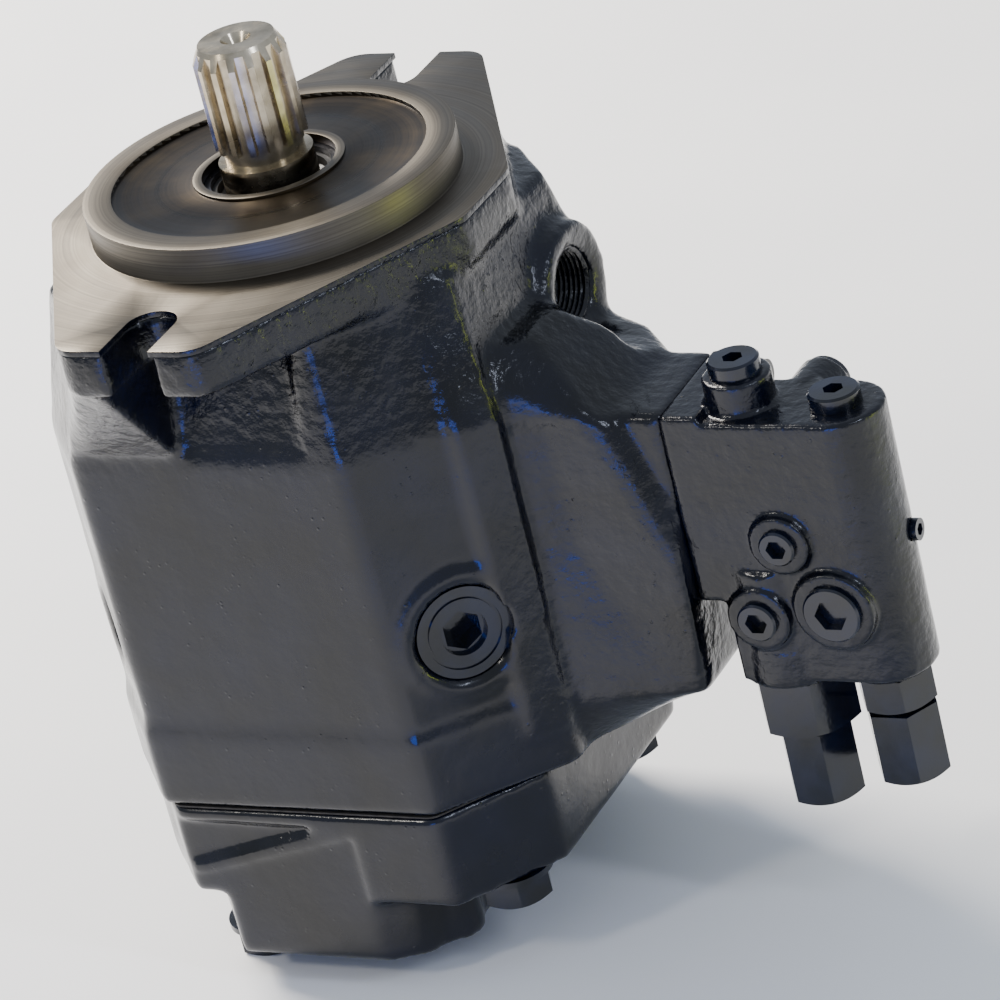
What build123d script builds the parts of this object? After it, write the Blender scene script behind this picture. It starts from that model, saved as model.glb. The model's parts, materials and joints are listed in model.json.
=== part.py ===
from build123d import *
import math
import os

# Variable-displacement axial piston pump, about 45 cc per turn.
# Origin: centre of the mounting-flange face, on the shaft axis.  +Z runs out of the drive end, the
# flange's bolt slots lie along Y, and the two-spool control block is on the +X side.
# The swash plate is at full stroke, where its spring holds it when the pump stands still.

# ---- mounting flange, two bolts, with its centring pilot -------------------------------------
FLANGE_THICK = 14.0
PILOT_R = 50.8
PILOT_HEIGHT = 9.7
PILOT_RECESS_R = 43.0
PILOT_RECESS_DEPTH = 1.2
BOLT_CIRCLE_R = 73.0
SLOT_WIDTH = 14.3
LOBE_REACH = 88.0
LOBE_HALF_WIDTH = 20.3
FLANGE_HALF_WIDTH = 63.0
FLANGE_SIDE_DISTANCE = 61.6

# ---- cast body ---------------------------------------------------------------------------------
BODY_LENGTH = 156.0
BODY_FRONT_Y = 60.0
BODY_SIDE_X = 66.0
NECK_IN = 6.0
SHOULDER_Z = -50.0
LIP_HEIGHT = 26.0
LIP_OUT = 1.0
LIP_SLOPE = 4.0
RIB_OUT = 3.2
JOINT_Z = -BODY_LENGTH

# ---- drive shaft -------------------------------------------------------------------------------
SPLINE_R = 12.7
SPLINE_ROOT_R = 11.1
SPLINE_TEETH = 15
SPLINE_LOW = 17.0
SHAFT_TOP = 46.0
SEAL_JOURNAL_R = 12.9
CONE_SEAT_R = 14.0
SHAFT_BODY_R = 12.2
REAR_JOURNAL_R = 10.0
SEAL_BORE_R = 18.3
SEAL_HEIGHT = 7.0

# ---- bearings ----------------------------------------------------------------------------------
CUP_R = 26.0
CUP_LOW = -25.0
CUP_HIGH = -8.0
TAPER_ANGLE = 12.0
TAPER_MEAN_R = 20.0
TAPER_ROLLER_R = 2.6
TAPER_ROLLERS = 17
REAR_HIGH = JOINT_Z - 3.0
REAR_LOW = REAR_HIGH - 16.0
REAR_OUTER_R = 21.0
REAR_INNER_R = 12.0
REAR_ROLLER_R = 2.7
REAR_ROLLERS = 13

# ---- rotary group ------------------------------------------------------------------------------
PISTONS = 9
PITCH_R = 33.5
PISTON_R = 9.75
PISTON_CLEARANCE = 0.62
BARREL_R = 46.5
BARREL_GAP = 1.5
BORE_FLOOR = 10.0
VALVE_PLATE_THICK = 5.0
VALVE_PLATE_R = 45.5
KIDNEY_R = 31.0
KIDNEY_WIDTH = 9.0
BALL_R = 6.5
SLIPPER_R = 10.6
SLIPPER_FACE = 8.0
SLIPPER_FLANGE = 3.0
COLLAR_R = 7.9
RETAINING_BALL_R = 19.0
SPRING_CHAMBER_R = 17.5
PUSH_PIN_CIRCLE_R = 15.6

# ---- swash plate and its cradle ----------------------------------------------------------------
PIVOT_Z = -62.0
MAX_ANGLE = 14.0
PLATE_R = 46.0
PLATE_THICK = 14.0
CRADLE_R = 38.0
CRADLE_SHELL = 2.95
CRADLE_IN = 29.4
CRADLE_OUT = 44.6
ARM_HALF = 9.0
STROKING_X = 60.0
STROKING_R = 9.0
SLEEVE_WALL = 1.4
BIAS_X = -55.0
BIAS_R = 5.5
BIAS_WALL = 1.4
DOME_GAP = 0.15

# ---- port plate --------------------------------------------------------------------------------
GASKET_THICK = 0.5
UPPER_BOTTOM = JOINT_Z - 29.0
LOWER_BOTTOM = UPPER_BOTTOM - 20.0
LEFT_BOLT = (-40.0, 38.0)
RIGHT_BOLT = (42.0, 37.0)
PLATE_BOLT_R = 6.0
PLATE_BOLT_ENGAGED = 20.0
SUCTION_R = 19.0
SUCTION_BOLTS = (35.7, 69.9)
SUCTION_X = -2.0
SUCTION_DEPTH = 15.0
PRESSURE_R = 12.5
PRESSURE_BOLTS = (52.4, 26.2)
PRESSURE_AT = (-10.0, JOINT_Z - 24.0)
PRESSURE_DEPTH = 35.0
SUCTION_BOLT_R = 5.1
PRESSURE_BOLT_R = 4.25
DOWEL_R = 3.0
VALVE_PIN_R = 1.5
VALVE_PIN_AT = (42.5, 0.0)

# ---- control block -----------------------------------------------------------------------------
PAD_X = 107.0
PAD_Y = (-17.0, 20.0)
BULGE_OUT = 6.0
PAD_Z = (-112.0, -57.0)
SPOOL_X = (125.5, 152.0)
SPOOL_Y = -5.0
SPOOL_R = 4.0
BLOCK_HALF_THICK = 13.0
BLOCK_TOP = -59.0
BLOCK_BOTTOM = -136.0
TOWER_TOP = -50.0
SCREW_R = 3.0
SCREW_Z = (-62.0, -76.0, -92.0, -107.0)
CHANNEL_Z = -106.0
CHAMBER_R = 7.2
SIGNAL_PORT_AT = (138.0, -66.0)
BALL_PLUG_Z = -98.0
FACE_PLUGS = ((146.0, -113.0, 8.0), (124.0, -116.0, 5.5), (134.5, -93.5, 5.0))
ADJUSTER_HEX = (25.0, 19.0)
ADJUSTER_LENGTH = (16.5, 10.0)
CAP_HEX = (18.5, 18.0)
CAP_LENGTH = (22.0, 21.0)
ADJUSTER_SEAT = BLOCK_BOTTOM - 1.5
SETTING_SCREW_R = 3.5

# ---- case drain ports --------------------------------------------------------------------------
PORT_Z = JOINT_Z + 49.0
PORT_BOSS_R = 18.2
PORT_THREAD_R = 13.2
SIDE_PORT_AT = (27.0, -42.0)
SIDE_PORT_THREAD_R = 10.5
LEFT_PORT_BOSS_R = 15.0
LEFT_PORT_THREAD_R = 9.0

# ---- clearances --------------------------------------------------------------------------------
RUNNING = 0.05
SLIDING = 0.03
SCREW_HOLE = 0.5

UP = (Align.CENTER, Align.CENTER, Align.MIN)
BETA = math.radians(MAX_ANGLE)
SLIPPER_CIRCLE_R = 2 * PITCH_R / (1 + math.cos(BETA))
BORE_R = PISTON_R + PISTON_CLEARANCE
VALVE_TOP = JOINT_Z + VALVE_PLATE_THICK
PLATE_TOP = JOINT_Z - GASKET_THICK
BARREL_CAVITY_R = BARREL_R + BARREL_GAP
BARREL_TOP = PIVOT_Z - 27.0
PISTON_LENGTH = PIVOT_Z - SLIPPER_CIRCLE_R * math.sin(BETA) - VALVE_TOP - BORE_FLOOR - 4.8
SPRING_SEAT = VALVE_TOP + 15.0
PLATE_FRONT = BODY_FRONT_Y + LIP_OUT
STROKING_DOME_R = STROKING_R + 1.0
BIAS_DOME_R = BIAS_R + 0.5
STROKING_Z = PIVOT_Z - STROKING_X * math.tan(BETA) - STROKING_DOME_R / math.cos(BETA) - DOME_GAP
BIAS_Z = PIVOT_Z - BIAS_X * math.tan(BETA) - BIAS_DOME_R / math.cos(BETA) - DOME_GAP
BIAS_BORE_BOTTOM = JOINT_Z + 10.0
BIAS_SPRING_TOP = PIVOT_Z - 4.0
STROKING_BORE_BOTTOM = JOINT_Z + 16.0
SLEEVE_TOP = PIVOT_Z - 28.0
TILT = Pos(0, 0, PIVOT_Z) * Rot(0, MAX_ANGLE, 0)


# ---- small helpers -----------------------------------------------------------------------------
def rod(radius, low, high, at=(0.0, 0.0)):
    """Upright cylinder between two heights."""
    return Pos(at[0], at[1], low) * Cylinder(radius, high - low, align=UP)


def ring(outer, inner, low, high, at=(0.0, 0.0)):
    """Upright tube between two heights."""
    return rod(outer, low, high, at) - rod(inner, low - 1, high + 1, at)


def rod_x(radius, start, end, y, z):
    """Cylinder along X."""
    return Pos(start, y, z) * Rot(0, 90, 0) * Cylinder(radius, end - start, align=UP)


def rod_y(radius, start, end, x, z):
    """Cylinder along Y."""
    return Pos(x, start, z) * Rot(-90, 0, 0) * Cylinder(radius, end - start, align=UP)


def block(x, y, z):
    """Box from three (low, high) pairs."""
    size = [pair[1] - pair[0] for pair in (x, y, z)]
    middle = [(pair[1] + pair[0]) / 2 for pair in (x, y, z)]
    return Pos(*middle) * Box(*size)


def prism(points, low, high, radius=0.0):
    """Upright prism on an outline, with its vertical edges rounded."""
    face = make_face(Polyline(*points, close=True))
    if radius:
        face = fillet(face.vertices(), radius)
    return extrude(Pos(0, 0, low) * face, amount=high - low)


def hexagon(across_flats, low, high, at=(0.0, 0.0)):
    """Upright hexagonal prism."""
    face = Pos(at[0], at[1], low) * RegularPolygon(across_flats / 2, 6, major_radius=False)
    return extrude(face, amount=high - low)


def hex_head(across_flats, low, high, at=(0.0, 0.0)):
    """Hexagonal head with its lower corners turned off."""
    corner = across_flats / math.sqrt(3)
    turned = across_flats / 2 * 0.99
    drop = (corner - turned) * math.tan(math.radians(30))
    outer = corner + 0.01
    profile = [(0, low), (turned, low), (outer, low + drop), (outer, high), (0, high)]
    return hexagon(across_flats, low, high, at) & (Pos(at[0], at[1], 0) * turned_solid(profile))


def turned_solid(profile):
    """Solid of revolution about Z from (radius, height) points."""
    wire = Polyline(*[(r, 0, z) for r, z in profile], close=True)
    return revolve(make_face(wire), axis=Axis.Z)


def around(count, first=0.0):
    """Evenly spaced angles in degrees."""
    return [first + 360.0 * step / count for step in range(count)]


def splined(major, root, teeth, low, high):
    """Involute-like male spline: straight-flanked teeth on a root cylinder."""
    body = rod(root, low, high)
    half_root = math.pi * root / teeth * 0.56
    half_tip = math.pi * major / teeth * 0.32
    tooth_outline = [(root - 0.6, -half_root), (major, -half_tip), (major, half_tip), (root - 0.6, half_root)]
    tooth = prism(tooth_outline, low, high)
    for angle in around(teeth):
        body += Rot(0, 0, angle) * tooth
    return body


def coil(mean_radius, wire_radius, low, high, turns, at=(0.0, 0.0)):
    """Compression spring that stands on one seat and reaches the other."""
    rise = high - low - 2 * wire_radius
    path = Pos(at[0], at[1], low + wire_radius) * Helix(rise / turns, rise, mean_radius)
    section = Plane(origin=path @ 0, z_dir=path % 0) * Circle(wire_radius)
    return sweep(section, path=path, is_frenet=True)


def kidney(radius, width, start, sweep_angle, low, high):
    """Curved slot about the shaft axis."""
    arc = CenterArc((0, 0), radius, start, sweep_angle)
    face = SlotArc(arc, width)
    return extrude(Pos(0, 0, low) * face, amount=high - low)


def both_kidneys(low, high):
    """The suction slot on -Y and the pressure slot on +Y."""
    return kidney(KIDNEY_R, KIDNEY_WIDTH, -155, 130, low, high) + kidney(KIDNEY_R, KIDNEY_WIDTH, 25, 130, low, high)


# ---- outlines ----------------------------------------------------------------------------------
def flange_outline():
    """Two-lobed flange: lobes on Y, side edges at 60 degrees."""
    side_y = (FLANGE_SIDE_DISTANCE - FLANGE_HALF_WIDTH * math.cos(math.radians(30))) * 2
    quarter = [(FLANGE_HALF_WIDTH, side_y), (LOBE_HALF_WIDTH, LOBE_REACH)]
    right = quarter + [(-x, y) for x, y in reversed(quarter)]
    return right + [(-x, -y) for x, y in right]


def body_outline(grow=0.0):
    """Cross-section of the lower body: flat front and back, sloping corner faces for the ports."""
    front = BODY_FRONT_Y + grow
    side = BODY_SIDE_X + grow
    return [(20 - side, -front), (side - 30, -front), (side, 30 - front), (side, front - 16),
            (side - 16, front), (16 - side, front), (-side, front - 16), (-side, 24 - front)]


def neck_outline():
    """Cross-section of the upper body just under the flange."""
    front = BODY_FRONT_Y - NECK_IN
    side = BODY_SIDE_X - NECK_IN
    return [(22 - side, -front), (side - 28, -front), (side, 30 - front), (side, front - 18),
            (side - 16, front), (16 - side, front), (-side, front - 18), (-side, 26 - front)]


def ruled(low_points, low, high_points, high):
    """Ruled loft between two outlines with as many corners."""
    faces = [Pos(0, 0, z) * make_face(Polyline(*points, close=True))
             for points, z in ((low_points, low), (high_points, high))]
    return loft(faces, ruled=True)


def fairing_section(knee, edge, side, back):
    """Level cut through the fairing: its two front corners, how far back its side runs, its rear corner."""
    root = STROKING_X
    return [(root, -30), knee, edge, (edge[0], side), back, (root, BODY_FRONT_Y - 14)]


def fairing():
    """Faceted swelling on +X that houses the stroking cylinder and carries the control block's pad."""
    root, pad, back = STROKING_X, PAD_X, PAD_Y[1]
    front = PAD_Y[0] - BULGE_OUT
    levels = [
        (PIVOT_Z + 26, fairing_section((root + 3, -22), (root + 12, -12), 4, (root + 6, 8))),
        (PIVOT_Z + 16, fairing_section((root + 12, front - 2), (root + 22, -18), 12, (root + 14, 16))),
        (PIVOT_Z + 8, fairing_section((root + 15, front - 2), (root + 29, front), 14, (root + 16, 16))),
        (PAD_Z[1], fairing_section((root + 16, front), (root + 34, front), back, (root + 22, 34))),
        (JOINT_Z + 63, fairing_section((root + 17, front), (pad, front), back, (root + 25, 38))),
        (JOINT_Z + 18, fairing_section((pad - 9, front), (pad - 2, front + 2), back, (root + 27, 42))),
        (JOINT_Z, fairing_section((root + 12, -11), (root + 24, 11), back, (root + 24, 45))),
    ]
    body = None
    for (high, upper), (low, lower) in zip(levels, levels[1:]):
        part = ruled(lower, low, upper, high)
        body = part if body is None else body + part
    return body


def rim_recess():
    """Slanting hollow between the fairing's rim and the control block's pad; it runs out at its foot."""
    top, foot, right = PIVOT_Z + 22, PAD_Z[0], PAD_X + 11
    deep = [(PAD_X - 8, top), (PAD_X + 6, foot), (right, foot), (right, top)]
    shallow = [(PAD_X - 33.5, top), (PAD_X + 3.7, foot), (right, foot), (right, top)]
    return Rot(90, 0, 0) * ruled(deep, -PAD_Y[0], shallow, BULGE_OUT + 3 - PAD_Y[0])


def lobe_web(side):
    """Web from one end of a flange lobe down to the body's corner; side is -1 in front and 1 behind."""
    front = BODY_FRONT_Y
    top = [(-30, 71), (-20.5, 85), (-12, 87), (-12, front - NECK_IN), (-39, front - NECK_IN)]
    bottom = [(20 - BODY_SIDE_X, front), (24 - BODY_SIDE_X, front + 0.5), (-12, front + 0.5),
              (-12, front - NECK_IN), (20 - BODY_SIDE_X, front - NECK_IN)]
    high = [(x, side * y) for x, y in top]
    low = [(x, side * y) for x, y in bottom]
    return ruled(low, SHOULDER_Z + 4, high, 1 - FLANGE_THICK)


# ---- casting -----------------------------------------------------------------------------------
def corner_frame(angle, distance, z, along=0.0):
    """Frame on a sloping corner face: local Z points straight out of it."""
    return Rot(0, 0, angle) * Pos(distance, along, z) * Rot(0, 90, 0)


RIGHT_PORT = corner_frame(-45, (BODY_SIDE_X - 30 + BODY_FRONT_Y) / math.sqrt(2) - 0.5, PORT_Z, along=4.0)
LEFT_SLOPE = math.atan2(-20, -24)
LEFT_DISTANCE = -(BODY_SIDE_X - 20) * math.cos(LEFT_SLOPE) - BODY_FRONT_Y * math.sin(LEFT_SLOPE)
LEFT_PORT = corner_frame(math.degrees(LEFT_SLOPE), LEFT_DISTANCE - 0.5, PORT_Z, along=-2.0)
SIDE_PORT = Pos(BODY_SIDE_X, SIDE_PORT_AT[0], SIDE_PORT_AT[1]) * Rot(0, 90, 0)


def housing_outside():
    """Everything cast, before the machining of its inside."""
    flange = prism(flange_outline(), -FLANGE_THICK, 0, radius=9)
    neck = ruled(body_outline(), SHOULDER_Z, neck_outline(), -FLANGE_THICK + 2)
    lip_top = JOINT_Z + LIP_HEIGHT
    trunk = prism(body_outline(), lip_top, SHOULDER_Z, radius=5)
    slope = ruled(body_outline(LIP_OUT), lip_top - LIP_SLOPE, body_outline(), lip_top)
    lip = prism(body_outline(LIP_OUT), JOINT_Z, lip_top - LIP_SLOPE, radius=5)
    body = flange + neck + trunk + slope + lip + (fairing() - rim_recess()) + lobe_web(-1) + lobe_web(1)
    body += block((STROKING_X + 10, PAD_X), PAD_Y, PAD_Z)
    body += RIGHT_PORT * rod(PORT_BOSS_R, -12, 2)
    body += LEFT_PORT * rod(LEFT_PORT_BOSS_R, -12, 1)
    body += SIDE_PORT * rod(PORT_BOSS_R, -14, 2)
    return body + corner_rib()


def corner_rib():
    """Upright rib along the corner beside the drain port."""
    x, y = BODY_SIDE_X, 30 - BODY_FRONT_Y
    foot = [(x - 9, y - 9), (x - 6, y - 6 - RIB_OUT * 1.4), (x + RIB_OUT * 0.7, y - 1), (x - 2, y + 6)]
    head = [(px - NECK_IN, py + NECK_IN) for px, py in foot]
    return prism(foot, JOINT_Z + LIP_HEIGHT / 2, SHOULDER_Z) + ruled(foot, SHOULDER_Z, head, -FLANGE_THICK - 10)


def wrench_pockets():
    """Shallow scoops under the two flange lobes, for the heads of the mounting bolts."""
    deep, shallow = 1.5 - BODY_FRONT_Y, 3 + NECK_IN - BODY_FRONT_Y
    outside = -LOBE_REACH - 1
    foot = SHOULDER_Z + 3
    scoop = [(deep, foot), (outside, foot), (outside, -FLANGE_THICK), (shallow, -FLANGE_THICK)]
    wire = Polyline(*[(0, y, z) for y, z in scoop], close=True)
    front = Pos(-12, 0, 0) * extrude(make_face(wire), amount=38, dir=(1, 0, 0))
    return front + mirror(front, about=Plane.XZ)


def case_cavity():
    """Room for the barrel, the swinging swash plate and its two arms."""
    low = BARREL_TOP - 1
    half = CRADLE_IN + 0.6
    out = CRADLE_OUT + 0.8
    arm = ARM_HALF + 2
    plate_top = PIVOT_Z + SLIPPER_FACE + PLATE_THICK
    room = rod(BARREL_CAVITY_R, JOINT_Z - 1, low + 8)
    room += block((0, STROKING_X + 11), (-arm, arm), (low, plate_top - 4))
    room += block((BIAS_X - 6, 0), (-arm, arm), (low, plate_top + 2))
    room += block((BIAS_X - 3, STROKING_X - 3), (-half, half), (plate_top - 6.5, plate_top + 13))
    room += block((-42, 42), (-out, out), (low, plate_top - 4))
    room += rod_y(CRADLE_R + CRADLE_SHELL, -out, out, 0, PIVOT_Z)
    room += rod(PLATE_R + 4.5, low, plate_top - 6)
    return room


def shaft_bores():
    """Bearing seat, seal seat and circlip groove in the front wall."""
    bores = rod(CUP_R, -30, CUP_HIGH)
    bores += rod(SEAL_BORE_R, CUP_HIGH - 1, PILOT_HEIGHT + 1)
    bores += rod(SEAL_BORE_R + 1, 5.2, 6.8)
    return bores


def flange_slots():
    """Open-ended bolt slots on Y."""
    slot = rod(SLOT_WIDTH / 2, -FLANGE_THICK - 20, 5, (0, BOLT_CIRCLE_R))
    slot += block((-SLOT_WIDTH / 2, SLOT_WIDTH / 2), (BOLT_CIRCLE_R, LOBE_REACH + 5), (-FLANGE_THICK - 20, 5))
    return slot + Rot(0, 0, 180) * slot


def plate_bolt_places():
    """(x, y, underside of the head) of the four port-plate bolts."""
    places = [(LEFT_BOLT[0], side * LEFT_BOLT[1], LOWER_BOTTOM) for side in (-1, 1)]
    return places + [(RIGHT_BOLT[0], side * RIGHT_BOLT[1], UPPER_BOTTOM) for side in (-1, 1)]


def dowel_places():
    """The two dowels between housing and port plate."""
    return [(12.0, side * (BODY_FRONT_Y - 6)) for side in (-1, 1)]


def block_screw_places():
    """(y, z) of the four screws that hold the control block, all on its rear flange."""
    return [(PAD_Y[1] - 5.5, z) for z in SCREW_Z]


def pump_housing():
    """Cast housing with its mounting flange, machined inside."""
    body = housing_outside()
    body += rod(PILOT_R, -1, PILOT_HEIGHT)
    body -= rod(PILOT_RECESS_R, PILOT_HEIGHT - PILOT_RECESS_DEPTH, PILOT_HEIGHT + 1)
    body += rod(SEAL_BORE_R + 2.5, 0, PILOT_HEIGHT - 0.4)
    body -= flange_slots()
    body -= wrench_pockets()
    body -= case_cavity()
    body -= shaft_bores()
    body -= rod(STROKING_R + SLEEVE_WALL, STROKING_BORE_BOTTOM, BARREL_TOP, (STROKING_X, 0))
    body -= rod(BIAS_R + RUNNING, BIAS_BORE_BOTTOM, BARREL_TOP, (BIAS_X, 0))
    body -= RIGHT_PORT * (rod(PORT_THREAD_R, -14, 3) + rod(PORT_BOSS_R - 3, 1, 3) + rod(6, -40, 0))
    body -= LEFT_PORT * (rod(LEFT_PORT_THREAD_R, -40, 3) + rod(LEFT_PORT_BOSS_R - 3, 0, 3))
    body -= SIDE_PORT * (rod(SIDE_PORT_THREAD_R, -20, 4) + rod(PORT_BOSS_R - 4, 0.8, 30) + rod(5, -40, 0))
    for x, y, _ in plate_bolt_places():
        body -= rod(PLATE_BOLT_R, JOINT_Z - 1, JOINT_Z + PLATE_BOLT_ENGAGED + 2, (x, y))
    for place in dowel_places():
        body -= rod(DOWEL_R, JOINT_Z - 1, JOINT_Z + 7, place)
    for y, z in block_screw_places():
        body -= rod_x(SCREW_R, PAD_X - 12, PAD_X + 1, y, z)
    body -= rod_x(2.5, STROKING_X + STROKING_R, PAD_X + 1, 0, CHANNEL_Z)
    body -= rod_x(4.0, PAD_X - 1.4, PAD_X + 1, 0, CHANNEL_Z)
    return body


# ---- port plate --------------------------------------------------------------------------------
def upper_plate_outline(grow=0.0):
    """Port plate where it meets the housing."""
    front = PLATE_FRONT + grow
    side = BODY_SIDE_X
    return [(22 - side, -front), (side - 30, -front), (side - 8, 27 - front), (side - 8, front - 19),
            (side - 22, front), (16 - side, front), (2 - side, front - 17), (2 - side, 23 - front)]


def lower_plate_outline():
    """Deeper half of the port plate, which carries the suction port."""
    front = PLATE_FRONT
    side = BODY_SIDE_X
    return [(32 - side, -front - 1), (4, -front - 1), (20, 6 - front), (29, 20 - front), (26, 0), (26, front),
            (16 - side, front), (6 - side, front - 14), (6 - side, 34 - front)]


def port_plate():
    """Rear casting: valve-plate seat, kidney channels, suction port below and pressure port behind."""
    body = prism(upper_plate_outline(), UPPER_BOTTOM, PLATE_TOP, radius=6)
    body += prism(lower_plate_outline(), LOWER_BOTTOM, UPPER_BOTTOM + 1, radius=7)
    body += rod(7, LOWER_BOTTOM, UPPER_BOTTOM + 1, (23.5, 20 - PLATE_FRONT))
    body -= front_step()
    body += rod(BARREL_CAVITY_R - 0.3, PLATE_TOP - 1, JOINT_Z)
    body -= rod(REAR_OUTER_R, REAR_LOW, JOINT_Z + 1)
    body -= rod(REAR_JOURNAL_R + 2, REAR_LOW - 4, REAR_LOW + 1)
    channel = JOINT_Z - 16
    body -= both_kidneys(channel, JOINT_Z + 1)
    pressure_x, pressure_z = PRESSURE_AT
    body -= rod_y(PRESSURE_R, PLATE_FRONT - PRESSURE_DEPTH, PLATE_FRONT + 5, pressure_x, pressure_z)
    body -= kidney(KIDNEY_R + 2, KIDNEY_WIDTH, 70, 60, pressure_z - 4, channel + 4)
    suction_floor = LOWER_BOTTOM + SUCTION_DEPTH
    body -= rod(SUCTION_R, LOWER_BOTTOM - 1, suction_floor, (SUCTION_X, 0))
    body -= kidney(KIDNEY_R, KIDNEY_WIDTH, -120, 60, suction_floor - 6, channel + 4)
    body -= block((SUCTION_X - 9, SUCTION_X + 9), (-KIDNEY_R, -10), (suction_floor - 11, suction_floor))
    for x, y, seat in plate_bolt_places():
        body -= rod(PLATE_BOLT_R + SCREW_HOLE, seat - 1, PLATE_TOP + 1, (x, y))
    for place in dowel_places():
        body -= rod(DOWEL_R, PLATE_TOP - 7, PLATE_TOP + 1, place)
    for dx, dy in corners(SUCTION_BOLTS):
        body -= rod(SUCTION_BOLT_R, LOWER_BOTTOM - 1, LOWER_BOTTOM + 17, (SUCTION_X + dx, dy))
    for dx, dz in corners(PRESSURE_BOLTS):
        body -= rod_y(PRESSURE_BOLT_R, PLATE_FRONT - 15, PLATE_FRONT + 5, pressure_x + dx, pressure_z + dz)
    return body - rod(VALVE_PIN_R, JOINT_Z - 3, JOINT_Z + 1, VALVE_PIN_AT)


def front_step():
    """Cuts on the front above and below a slanting ridge."""
    left, right = -BODY_SIDE_X - 4, 10
    knee = 22 - BODY_SIDE_X
    below = [(left, UPPER_BOTTOM + 5.5), (knee, UPPER_BOTTOM + 7), (right, UPPER_BOTTOM + 22),
             (right, LOWER_BOTTOM - 1), (left, LOWER_BOTTOM - 1)]
    above = [(left, JOINT_Z - 4), (2, JOINT_Z - 5.5), (knee, UPPER_BOTTOM + 9.5), (left, UPPER_BOTTOM + 8)]
    cuts = []
    for points, depth in ((below, 1.2), (above, 2.6)):
        wire = Polyline(*[(x, -PLATE_FRONT - 2, z) for x, z in points], close=True)
        cuts.append(extrude(make_face(wire), amount=2 + depth, dir=(0, 1, 0)))
    return cuts[0] + cuts[1]


def corners(spacing):
    """The four corners of a rectangle about its middle."""
    return [(dx * spacing[0] / 2, dy * spacing[1] / 2) for dx in (-1, 1) for dy in (-1, 1)]


def port_plate_gasket():
    """Flat gasket between housing and port plate."""
    sheet = prism(upper_plate_outline(-0.6), PLATE_TOP, JOINT_Z, radius=5)
    sheet -= rod(BARREL_CAVITY_R, PLATE_TOP - 1, JOINT_Z + 1)
    for x, y, _ in plate_bolt_places():
        sheet -= rod(PLATE_BOLT_R + SCREW_HOLE, PLATE_TOP - 1, JOINT_Z + 1, (x, y))
    for place in dowel_places():
        sheet -= rod(DOWEL_R, PLATE_TOP - 1, JOINT_Z + 1, place)
    return sheet


def port_plate_bolts():
    """Four flanged hexagon screws."""
    bolts = []
    for x, y, seat in plate_bolt_places():
        shank = rod(PLATE_BOLT_R, seat, JOINT_Z + PLATE_BOLT_ENGAGED, (x, y))
        collar = rod(11.2, seat - 1.8, seat, (x, y))
        bolts.append(shank + collar + hex_head(18, seat - 9.5, seat - 1.8, (x, y)))
    return bolts


def dowel_pins():
    """Two housing dowels and the valve plate's locating pin."""
    pins = [rod(DOWEL_R, PLATE_TOP - 6.5, JOINT_Z + 6.5, place) for place in dowel_places()]
    return pins + [rod(VALVE_PIN_R, JOINT_Z - 3, VALVE_TOP - 1, VALVE_PIN_AT)]


# ---- shaft line --------------------------------------------------------------------------------
def drive_shaft():
    """Splined drive shaft from its centred end to the rear journal."""
    shaft = splined(SPLINE_R, SPLINE_ROOT_R, SPLINE_TEETH, SPLINE_LOW, SHAFT_TOP)
    shaft += turned_solid([(0, 12), (SPLINE_ROOT_R - 0.3, 12), (SPLINE_ROOT_R - 0.3, SPLINE_LOW + 1),
                           (0, SPLINE_LOW + 1)])
    envelope = turned_solid([(0, 11), (14, 11), (14, SHAFT_TOP - 7), (10.4, SHAFT_TOP), (0, SHAFT_TOP)])
    shaft = shaft & envelope
    shaft += rod(SEAL_JOURNAL_R, CUP_HIGH, 12.5)
    shaft += rod(CONE_SEAT_R, CUP_LOW, CUP_HIGH + 0.5)
    shaft += rod(CONE_SEAT_R + 2, CUP_LOW - 3, CUP_LOW)
    shaft += rod(SHAFT_BODY_R, REAR_HIGH + 1, CUP_LOW - 2)
    shaft += splined(SHAFT_BODY_R + 1.4, SHAFT_BODY_R, SPLINE_TEETH, BARREL_TOP - 9, PIVOT_Z + 9)
    shaft += rod(REAR_JOURNAL_R, REAR_LOW - 2, REAR_HIGH + 1)
    centre_hole = turned_solid([(0, SHAFT_TOP - 12), (2.4, SHAFT_TOP - 10), (2.4, SHAFT_TOP - 3.2),
                                (4.2, SHAFT_TOP + 0.1), (0, SHAFT_TOP + 0.1)])
    return shaft - centre_hole


def shaft_seal():
    """Radial lip seal in the pilot."""
    top = 5.0
    shell = ring(SEAL_BORE_R, SEAL_JOURNAL_R + 2.2, top - SEAL_HEIGHT, top)
    lip = turned_solid([(SEAL_JOURNAL_R + RUNNING, 1.2), (SEAL_JOURNAL_R + 3, -0.6), (SEAL_JOURNAL_R + 3, 2.8)])
    return shell + lip


def seal_circlip():
    """Internal circlip above the seal, with its two eyelets."""
    low, high = 5.3, 6.7
    clip = ring(SEAL_BORE_R + 0.9, SEAL_BORE_R - 1.8, low, high)
    clip -= block((-3, 3), (-25, -5), (low - 1, high + 1))
    for side in (-1, 1):
        eye_at = (side * 4.6, -(SEAL_BORE_R - 2.4))
        clip += rod(2.2, low, high, eye_at)
        clip -= rod(0.9, low - 1, high + 1, eye_at)
    return clip


def taper_line(z, offset):
    """Raceway radius at a height, a given distance from the roller axis."""
    middle = (CUP_LOW + CUP_HIGH) / 2
    tilt = math.radians(TAPER_ANGLE)
    return TAPER_MEAN_R - (z - middle) * math.tan(tilt) + offset / math.cos(tilt)


def front_bearing_cup():
    """Outer ring of the tapered roller bearing."""
    gap = TAPER_ROLLER_R + RUNNING
    high = CUP_HIGH
    return turned_solid([(CUP_R, CUP_LOW), (CUP_R, high), (taper_line(high, gap), high),
                         (taper_line(CUP_LOW, gap), CUP_LOW)])


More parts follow.
